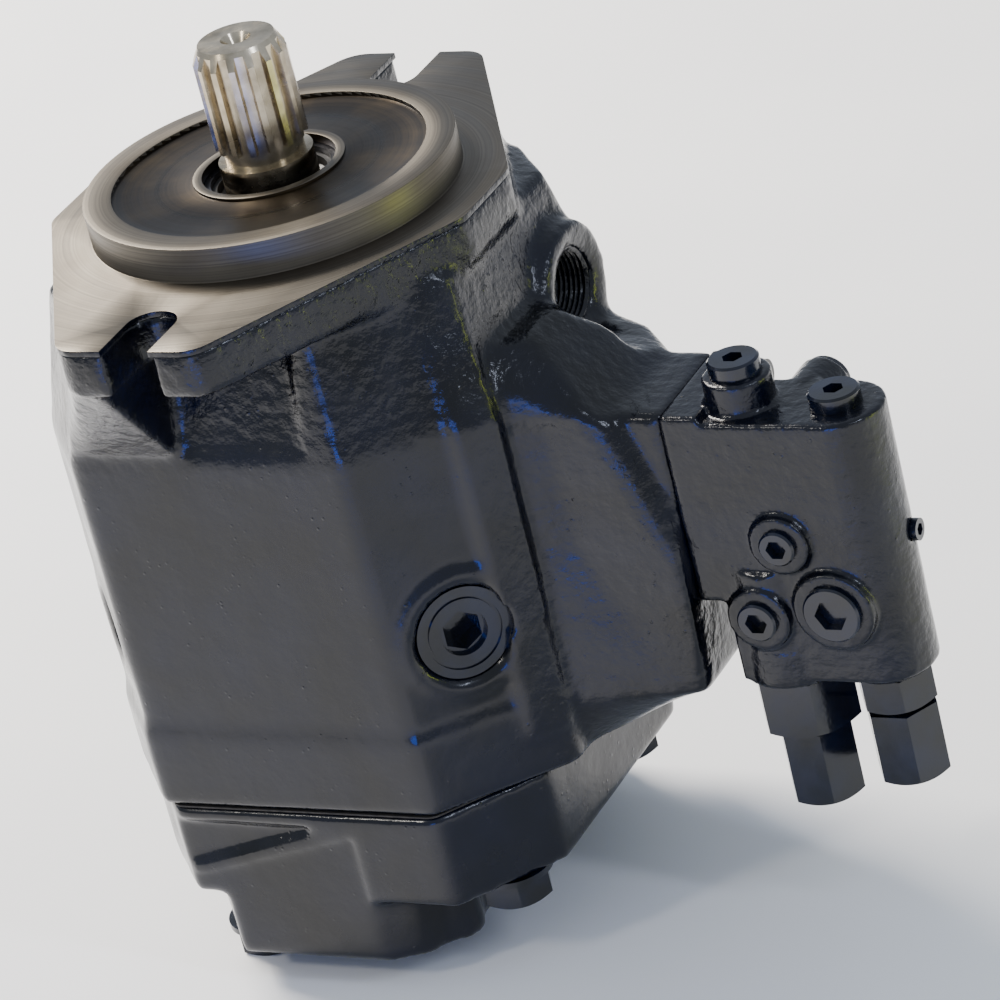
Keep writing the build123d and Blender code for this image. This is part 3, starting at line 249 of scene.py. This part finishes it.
@dataclass(frozen=True)
class TurnedMetal:
    """Metal cut on a lathe about the shaft's axis: fine concentric tool marks that stretch the
    highlights into arcs, with bands of slightly different grey."""

    name: str
    low: str
    high: str
    roughness: tuple[float, float]
    pitch_mm: float = 0.7
    stain: str = "#4f463b"
    stain_share: float = 0.35

    def make(self) -> bpy.types.Material:
        """Builds the node material."""
        m = blank(self.name)
        where = add(m, "TexCoord").outputs["Object"]
        flat = add(m, "VectorMath", {0: where, 1: (1.0, 1.0, 0.0)}, operation="MULTIPLY").outputs["Vector"]
        radius = add(m, "VectorMath", {0: flat}, operation="LENGTH").outputs["Value"]
        height = add(m, "SeparateXYZ", {"Vector": where}).outputs["Z"]
        along = add(m, "Math", {0: radius, 1: height}, operation="ADD").outputs["Value"]
        marks = add(m, "TexNoise", {"W": along, "Scale": per_mm(self.pitch_mm), "Detail": 3.0},
                    noise_dimensions="1D").outputs["Fac"]
        bands = add(m, "TexNoise", {"W": along, "Scale": per_mm(7.0), "Detail": 2.0},
                    noise_dimensions="1D").outputs["Fac"]
        metal = two_tone(m, marks, self.low, self.high, 0.30, 0.70)
        cloud = spread(m, noise(m, where, 16.0, 4.0), 0.0, self.stain_share, 0.45, 0.75)
        colour = add(m, "Mix", {"Factor": cloud, 6: metal, 7: linear(self.stain)}, data_type="RGBA",
                     clamp_factor=True)
        shader = add(m, "BsdfPrincipled", {
            "Base Color": colour.outputs[2], "Metallic": 1.0,
            "Roughness": spread(m, bands, *self.roughness),
            "Normal": bump(m, marks, 0.012, 0.30), "Anisotropic": 0.3})
        return close(m, shader)


@dataclass(frozen=True)
class PlainMetal:
    """Ground, drawn or cast metal of one colour: faint grinding scratches and cloudy oil film."""

    name: str
    low: str
    high: str
    roughness: tuple[float, float]
    scratch_mm: float = 0.6
    depth_mm: float = 0.02

    def make(self) -> bpy.types.Material:
        """Builds the node material."""
        m = blank(self.name)
        where = add(m, "TexCoord").outputs["Object"]
        drawn = add(m, "Mapping", {"Vector": where, "Scale": (1.0, 1.0, 0.15)}).outputs["Vector"]
        grain = noise(m, drawn, self.scratch_mm, 3.0)
        shader = add(m, "BsdfPrincipled", {
            "Base Color": two_tone(m, noise(m, where, 8.0, 4.0), self.low, self.high), "Metallic": 1.0,
            "Roughness": spread(m, noise(m, where, 5.0, 3.0), *self.roughness),
            "Normal": bump(m, grain, self.depth_mm, 0.4)})
        return close(m, shader)


@dataclass(frozen=True)
class SoftSheet:
    """Rubber or gasket paper: matt, slightly mottled, with no clear reflection."""

    name: str
    low: str
    high: str
    roughness: tuple[float, float]
    grain_mm: float = 0.8

    def make(self) -> bpy.types.Material:
        """Builds the node material."""
        m = blank(self.name)
        where = add(m, "TexCoord").outputs["Object"]
        shader = add(m, "BsdfPrincipled", {
            "Base Color": two_tone(m, noise(m, where, 4.0, 4.0), self.low, self.high),
            "Roughness": spread(m, noise(m, where, 3.0, 2.0), *self.roughness),
            "Normal": bump(m, noise(m, where, self.grain_mm, 3.0), 0.05, 0.4)})
        return close(m, shader)


class Finish(Enum):
    """Every finish on the pump."""

    CASTING = EnamelOverCasting()
    PAINTED_STEEL = EnamelOverSteel()
    FLANGE = TurnedMetal("turned_cast_iron", "#5b564e", "#6e685e", (0.34, 0.46))
    # Painted shade: a darker copy of the turned cast iron for the recess inside the pilot, standing in for
    # the shade there.
    RECESS = TurnedMetal("turned_cast_iron_with_painted_recess_shade", "#1d1813", "#2b241c", (0.26, 0.40), stain="#5e4f36")
    SHAFT = PlainMetal("ground_case_hardened_steel", "#8f846f", "#c9bda6", (0.16, 0.30))
    BEARING = PlainMetal("ground_bearing_steel", "#8d8f92", "#b9bbbd", (0.10, 0.22))
    STEEL = PlainMetal("machined_steel", "#6e7174", "#9a9da0", (0.22, 0.38))
    SPRING = PlainMetal("oil_tempered_spring_steel", "#2a2a2e", "#4a4a50", (0.25, 0.45))
    BRONZE = PlainMetal("turned_leaded_bronze", "#8c6a35", "#b78d4c", (0.22, 0.36))
    RUBBER = SoftSheet("moulded_nitrile_rubber", "#08080a", "#121215", (0.42, 0.62))
    PAPER = SoftSheet("compressed_fibre_gasket", "#1c1a16", "#2c2823", (0.70, 0.90))


class Palette:
    """Makes each finish once and puts it on pieces."""

    def __init__(self) -> None:
        """Starts with nothing made."""
        self._made: dict[Finish, bpy.types.Material] = {}

    def get(self, finish: Finish) -> bpy.types.Material:
        """The material of a finish."""
        if finish not in self._made:
            self._made[finish] = finish.value.make()
        return self._made[finish]

    def dress(self, piece: bpy.types.Object, *finishes: Finish) -> None:
        """Gives a piece its finishes, one for each material slot.

        Args:
            piece: the object to dress.
            finishes: the finishes in the order of the piece's slots.
        """
        piece.data.materials.clear()
        for finish in finishes:
            piece.data.materials.append(self.get(finish))

    def dress_node(self, node: bpy.types.Object, finish: Finish) -> None:
        """Puts a finish on every slot of a CAD node."""
        if not node.material_slots:
            node.data.materials.append(self.get(finish))
        for slot in node.material_slots:
            slot.material = self.get(finish)


# ---- modelling helpers -------------------------------------------------------------------------
def select_only(piece: bpy.types.Object) -> None:
    """Makes a piece the only selected and active object."""
    bpy.ops.object.select_all(action="DESELECT")
    piece.select_set(True)
    bpy.context.view_layer.objects.active = piece


def settle(piece: bpy.types.Object) -> bpy.types.Object:
    """Moves a piece's place into its mesh, so that its object sits at the origin."""
    select_only(piece)
    bpy.ops.object.transform_apply(location=True, rotation=True, scale=True)
    return piece


def apply_modifier(piece: bpy.types.Object, name: str, kind: str, **settings) -> None:
    """Adds a modifier with its settings and applies it.

    Args:
        piece: the object that is changed.
        name: the modifier's name.
        kind: its type.
        settings: its attributes.
    """
    select_only(piece)
    modifier = piece.modifiers.new(name, kind)
    for key, value in settings.items():
        setattr(modifier, key, value)
    bpy.ops.object.modifier_apply(modifier=modifier.name)


def lathe(name: str, profile: Profile, steps: int = 64) -> bpy.types.Object:
    """Turns a closed profile of (radius, height) points in millimetres about Z.

    Args:
        name: the new object's name.
        profile: the section's corners, in order.
        steps: segments around the axis.

    Returns:
        The turned piece, with its normals outwards.
    """
    bpy.ops.object.select_all(action="DESELECT")
    bpy.ops.mesh.primitive_plane_add(size=MM, location=(0, 0, 0))
    piece = bpy.context.object
    piece.name = name
    mesh = bmesh.new()
    corners = [mesh.verts.new((r * MM, 0.0, z * MM)) for r, z in profile]
    mesh.faces.new(corners)
    mesh.to_mesh(piece.data)
    mesh.free()
    bpy.ops.object.mode_set(mode="EDIT")
    bpy.ops.mesh.select_all(action="SELECT")
    bpy.ops.mesh.spin(steps=steps, angle=2 * math.pi, center=(0, 0, 0), axis=(0, 0, 1))
    bpy.ops.mesh.select_all(action="SELECT")
    bpy.ops.mesh.remove_doubles(threshold=0.002 * MM)
    bpy.ops.mesh.delete_loose()
    bpy.ops.mesh.normals_make_consistent(inside=False)
    bpy.ops.object.mode_set(mode="OBJECT")
    return piece


def place(piece: bpy.types.Object, frame: Matrix) -> bpy.types.Object:
    """Moves a piece's mesh by a frame and leaves the object at the origin."""
    piece.matrix_world = frame
    return settle(piece)


def soften(piece: bpy.types.Object, width_mm: float, angle: float = 30.0) -> None:
    """Rounds a piece's sharp edges and shades it smooth between them."""
    apply_modifier(piece, "edges", "BEVEL", width=width_mm * MM, segments=2, limit_method="ANGLE",
                   angle_limit=math.radians(angle), use_clamp_overlap=True)
    select_only(piece)
    bpy.ops.object.shade_smooth_by_angle(angle=math.radians(angle))


def copy_node(node: bpy.types.Object, name: str) -> bpy.types.Object:
    """A merged copy of a CAD node's mesh, as a new object."""
    piece = node.copy()
    piece.data = node.data.copy()
    piece.name = name
    bpy.context.collection.objects.link(piece)
    select_only(piece)
    bpy.ops.object.mode_set(mode="EDIT")
    bpy.ops.mesh.select_all(action="SELECT")
    bpy.ops.mesh.remove_doubles(threshold=0.002 * MM)
    bpy.ops.object.mode_set(mode="OBJECT")
    return piece


def keep_side(piece: bpy.types.Object, height: float, above: bool) -> None:
    """Cuts a piece at a height in metres, closes the cut and keeps one side.

    Args:
        piece: the object to cut.
        height: where the level cut is.
        above: keeps what is above the cut when true, and below it when false.
    """
    select_only(piece)
    bpy.ops.object.mode_set(mode="EDIT")
    bpy.ops.mesh.select_all(action="SELECT")
    bpy.ops.mesh.bisect(plane_co=(0, 0, height), plane_no=(0, 0, 1), use_fill=True,
                        clear_inner=above, clear_outer=not above)
    bpy.ops.object.mode_set(mode="OBJECT")


def group_by(piece: bpy.types.Object, name: str, weigh: Callable[[Vector], float]) -> None:
    """Vertex group whose weights come from each point's place."""
    group = piece.vertex_groups.new(name=name)
    for vertex in piece.data.vertices:
        weight = weigh(vertex.co)
        if weight > 0:
            group.add([vertex.index], weight, "REPLACE")


# ---- sub-assemblies ----------------------------------------------------------------------------
@dataclass
class Casting:
    """A sand-cast body: the CAD node's shape with the rounded edges and uneven skin of a casting."""

    name: str
    voxel_mm: float = 1.25
    rounding: int = 10
    lump_mm: float = 0.22
    lump_spacing_mm: float = 9.0
    lump_level: float = 0.62
    crisp: Callable[[Vector], bool] = field(default=lambda place: False)

    def shape(self, source: bpy.types.Object) -> bpy.types.Object:
        """Rebuilds a merged copy of the CAD shape as one even skin and rounds its edges."""
        apply_modifier(source, "skin", "REMESH", mode="VOXEL", voxel_size=self.voxel_mm * MM)
        group_by(source, "as_cast", lambda place: 0.0 if self.crisp(place) else 1.0)
        apply_modifier(source, "round", "SMOOTH", factor=0.5, iterations=self.rounding,
                       vertex_group="as_cast")
        sand = bpy.data.textures.new(self.name + "_sand", "CLOUDS")
        sand.noise_scale = self.lump_spacing_mm * MM
        sand.noise_depth = 3
        apply_modifier(source, "sand", "DISPLACE", texture=sand, texture_coords="LOCAL",
                       strength=self.lump_mm * MM, mid_level=self.lump_level, vertex_group="as_cast")
        source.vertex_groups.clear()
        select_only(source)
        bpy.ops.object.shade_smooth()
        return source


@dataclass
class Housing:
    """Cast housing with its bare, turned mounting face and pilot."""

    frame: dict
    palette: Palette
    voxel_mm: float = 1.55
    rounding: int = 7
    face_depth_mm: float = 1.6
    overlap_mm: float = 0.3
    crisp_above_mm: float = -2.2
    pilot_r_mm: float = 51.5
    bare_above_mm: float = -0.5
    recess_r_mm: float = 43.3
    recess_below_mm: float = 9.2
    edge_mm: float = 0.35

    def build(self) -> list[bpy.types.Object]:
        """Makes the painted casting and the machined face above it."""
        node = self.frame["nodes"]["pump_housing"]
        cut = -self.face_depth_mm * MM
        casting = copy_node(node, "housing_casting")
        keep_side(casting, cut + self.overlap_mm * MM, above=False)
        Casting("housing_casting", self.voxel_mm, self.rounding, crisp=self.is_machined).shape(casting)
        self.palette.dress(casting, Finish.CASTING)
        face = copy_node(node, "machined_flange_face")
        keep_side(face, cut, above=True)
        self.paint_edges(face)
        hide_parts("pump_housing")
        return [casting, face]

    def is_machined(self, place: Vector) -> bool:
        """True near the flange's cut edge, which stays sharp."""
        return place.z > self.crisp_above_mm * MM

    def paint_edges(self, face: bpy.types.Object) -> None:
        """Bare metal on the turned faces, painted shade in the recess (a darker copy of the turned metal),
        and enamel down the flange's sides.
        """
        soften(face, self.edge_mm)
        self.palette.dress(face, Finish.FLANGE, Finish.CASTING, Finish.RECESS)
        for polygon in face.data.polygons:
            middle = polygon.center
            radius = math.hypot(middle.x, middle.y)
            side = abs(polygon.normal.z) < 0.5
            if radius > self.pilot_r_mm * MM and (side or middle.z < self.bare_above_mm * MM):
                polygon.material_index = 1
            # Painted shade: faces inside the pilot's recess get the darker copy of the turned metal.
            elif radius < self.recess_r_mm * MM and middle.z < self.recess_below_mm * MM:
                polygon.material_index = 2


@dataclass
class PortThreads:
    """Thread crests in the mouths of the two drain ports that are left open."""

    palette: Palette
    side_at_mm: Point = (66.0, 27.0, -42.0)
    side_r_mm: float = 10.5
    left_corner_mm: tuple[float, float] = (46.0, 60.0)
    left_slant_mm: tuple[float, float] = (20.0, 24.0)
    left_along_mm: float = -2.0
    left_height_mm: float = -107.0
    left_r_mm: float = 9.0
    sunk_mm: float = 0.5
    pitch_mm: float = 1.5
    depth_mm: float = 0.8
    root_mm: float = 0.05
    wall_mm: float = 0.4
    turns: int = 8

    def build(self) -> list[bpy.types.Object]:
        """Makes one sleeve of crests for each open port."""
        pieces = []
        for name, radius, frame in (("side_port_thread", self.side_r_mm, self.side_frame()),
                                    ("left_port_thread", self.left_r_mm, self.left_frame())):
            piece = place(lathe(name, self.crests(radius)), frame)
            self.palette.dress(piece, Finish.CASTING)
            pieces.append(piece)
        return pieces

    def side_frame(self) -> Matrix:
        """Frame of the upper port, on the body's +X side."""
        return Matrix.Translation(Vector(self.side_at_mm) * MM) @ Matrix.Rotation(math.pi / 2, 4, "Y")

    def left_frame(self) -> Matrix:
        """Frame of the port on the body's slanting left corner."""
        across, depth = self.left_slant_mm
        slope = math.atan2(-across, -depth)
        x, y = self.left_corner_mm
        reach = -x * math.cos(slope) - y * math.sin(slope) - self.sunk_mm
        at = Vector((reach, self.left_along_mm, self.left_height_mm)) * MM
        turned = Matrix.Rotation(slope, 4, "Z") @ Matrix.Translation(at)
        return turned @ Matrix.Rotation(math.pi / 2, 4, "Y")

    def crests(self, radius: float) -> Profile:
        """Saw-tooth section that stands in from the bore's wall."""
        root, wall = radius + self.root_mm, radius + self.wall_mm
        points = [(wall, -self.wall_mm)]
        for turn in range(self.turns):
            height = -self.wall_mm - turn * self.pitch_mm
            points += [(root, height - self.root_mm), (radius - self.depth_mm, height - self.pitch_mm / 2)]
        foot = -self.wall_mm - self.turns * self.pitch_mm
        return points + [(root, foot), (wall, foot)]


@dataclass
class PortPlate:
    """Rear casting."""

    frame: dict
    palette: Palette

    def build(self) -> list[bpy.types.Object]:
        """Makes the painted casting."""
        casting = copy_node(self.frame["nodes"]["port_plate"], "port_plate_casting")
        Casting("port_plate_casting").shape(casting)
        self.palette.dress(casting, Finish.CASTING)
        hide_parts("port_plate")
        return [casting]


@dataclass
class ControlBlock:
    """Cast valve block, with finer edges than the large castings."""

    frame: dict
    palette: Palette
    voxel_mm: float = 0.7
    rounding: int = 7
    lump_mm: float = 0.15

    def build(self) -> list[bpy.types.Object]:
        """Makes the painted casting."""
        casting = copy_node(self.frame["nodes"]["control_block"], "control_block_casting")
        Casting("control_block_casting", self.voxel_mm, self.rounding, self.lump_mm).shape(casting)
        self.palette.dress(casting, Finish.CASTING)
        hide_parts("control_block")
        return [casting]


# ---- studio ------------------------------------------------------------------------------------
@dataclass(frozen=True)
class SoftBox:
    """One studio light."""

    name: str
    at: Point
    aim: Point
    size: tuple[float, float]
    watts: float
    colour: str = "#ffffff"

    def build(self) -> None:
        """Adds the light and turns it towards its aim."""
        bpy.ops.object.light_add(type="AREA", location=self.at)
        light = bpy.context.object
        light.name = self.name
        light.data.shape = "RECTANGLE"
        light.data.size, light.data.size_y = self.size
        light.data.energy = self.watts
        light.data.color = linear(self.colour)[:3]
        direction = Vector(self.aim) - Vector(self.at)
        light.rotation_euler = direction.to_track_quat("-Z", "Y").to_euler()


@dataclass
class Studio:
    """Floor, lights, world and camera."""

    azimuth: float = 33.0
    elevation: float = 22.6
    roll: float = -14.8
    distance: float = 1.4
    lens_mm: float = 189.25
    origin_from_middle: tuple[float, float] = (-0.2227, 0.3055)
    floor_half: float = 6.0

    def build(self, lowest: float) -> None:
        """Sets the stage on a floor at the pump's lowest point.

        Args:
            lowest: height of the floor in metres.
        """
        self.add_floor(lowest)
        self.add_world()
        for box in self.lights():
            box.build()
        self.add_camera()

    def add_floor(self, height: float) -> None:
        """Plain pale floor."""
        bpy.ops.object.select_all(action="DESELECT")
        bpy.ops.mesh.primitive_plane_add(size=2 * self.floor_half, location=(0, 0, height))
        floor = bpy.context.object
        floor.name = "studio_floor"
        m = blank("matt_studio_paper")
        where = add(m, "TexCoord").outputs["Object"]
        shader = add(m, "BsdfPrincipled", {
            "Base Color": two_tone(m, noise(m, where, 120.0, 2.0), "#f6f6f7", "#fafafa"),
            "Roughness": 0.9, "Specular IOR Level": 0.1})
        close(m, shader)
        floor.data.materials.append(m)
        settle(floor)

    def add_world(self) -> None:
        """Even pale surroundings."""
        world = bpy.data.worlds.new("studio_air")
        world.use_nodes = True
        background = world.node_tree.nodes["Background"]
        background.inputs["Color"].default_value = linear("#d6e0f0")
        background.inputs["Strength"].default_value = 0.78
        bpy.context.scene.world = world

    def lights(self) -> Iterable[SoftBox]:
        """The studio's soft boxes."""
        yield SoftBox("key_behind_left", (-1.3, 0.55, 1.2), (0, 0, -0.1), (0.8, 0.8), 92.0, "#fff8ee")
        yield SoftBox("small_front_left", (-0.7, -1.1, 0.9), (0, 0, -0.08), (0.18, 0.18), 5.0, "#fffaf0")
        yield SoftBox("small_right", (1.2, -0.35, 0.75), (0.05, 0, -0.08), (0.10, 0.45), 4.5, "#dfe9ff")
        yield SoftBox("blue_kicker", (0.16, -0.62, -0.10), (0.05, 0, -0.10), (0.30, 0.08), 0.75, "#2f6cff")
        yield SoftBox("olive_kicker", (0.62, 0.10, -0.08), (0.06, 0, -0.10), (0.05, 0.20), 0.55, "#b4c238")

    def add_camera(self) -> None:
        """Long-lens camera, leaned over so that the shaft tilts to the left."""
        az, el, roll = (math.radians(a) for a in (self.azimuth, self.elevation, self.roll))
        back = Vector((math.sin(az) * math.cos(el), -math.cos(az) * math.cos(el), math.sin(el)))
        level = Vector((math.cos(az), math.sin(az), 0.0))
        rise = back.cross(level)
        right = level * math.cos(roll) + rise * math.sin(roll)
        up = rise * math.cos(roll) - level * math.sin(roll)
        sensor = 36.0
        shift_x, shift_y = (share * sensor / self.lens_mm for share in self.origin_from_middle)
        forward = (-back - right * shift_x - up * shift_y).normalized()
        side = forward.cross(up).normalized()
        camera = bpy.data.cameras.new("camera")
        camera.lens = self.lens_mm
        camera.sensor_width = sensor
        camera.clip_start = 0.05
        camera.clip_end = 30.0
        holder = bpy.data.objects.new("camera", camera)
        bpy.context.collection.objects.link(holder)
        axes = Matrix((side, side.cross(forward), -forward)).transposed()
        holder.matrix_world = Matrix.Translation(back * self.distance) @ axes.to_4x4()
        bpy.context.scene.camera = holder


NODE_FINISHES: dict[Finish, tuple[str, ...]] = {
    Finish.PAINTED_STEEL: ("port_plate_bolts", "drain_plug", "block_screws", "pressure_adjuster_body",
                           "flow_adjuster_body", "cap_nuts", "block_plugs", "face_plugs"),
    Finish.SHAFT: ("drive_shaft",),
    Finish.BEARING: ("front_bearing_cup", "front_bearing_cone", "front_bearing_rollers",
                     "rear_bearing_outer", "rear_bearing_inner", "rear_bearing_rollers"),
    Finish.BRONZE: ("cylinder_barrel", "valve_plate", "cradle_shells"),
    Finish.SPRING: ("seal_circlip", "barrel_snap_ring", "barrel_spring", "bias_spring", "spool_springs"),
    Finish.RUBBER: ("shaft_seal", "block_seal"),
    Finish.PAPER: ("port_plate_gasket",),
    Finish.CASTING: ("pump_housing", "port_plate", "control_block"),
}


def dress_nodes(frame: dict, palette: Palette) -> None:
    """Gives every CAD node its finish; what isn't listed is machined steel, and slippers are bronze.

    Args:
        frame: the loaded frame.
        palette: where the finishes come from.
    """
    listed = {node: finish for finish, nodes in NODE_FINISHES.items() for node in nodes}
    for name, node in frame["nodes"].items():
        finish = Finish.BRONZE if name.startswith("slipper_") else listed.get(name, Finish.STEEL)
        palette.dress_node(node, finish)


def main() -> None:
    """Builds the pump's looks around the frame."""
    logging.basicConfig(level=logging.INFO, format="%(name)s: %(message)s")
    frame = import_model()
    bpy.ops.object.select_all(action="DESELECT")
    palette = Palette()
    dress_nodes(frame, palette)
    for assembly in (Housing(frame, palette), PortThreads(palette), PortPlate(frame, palette),
                     ControlBlock(frame, palette)):
        for piece in assembly.build():
            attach(piece, "root")
            LOG.info("%s: %d faces", piece.name, len(piece.data.polygons))
    lowest = min(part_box(node)[0].z for node in frame["nodes"])
    Studio().build(lowest)


if __name__ == "__main__":
    main()
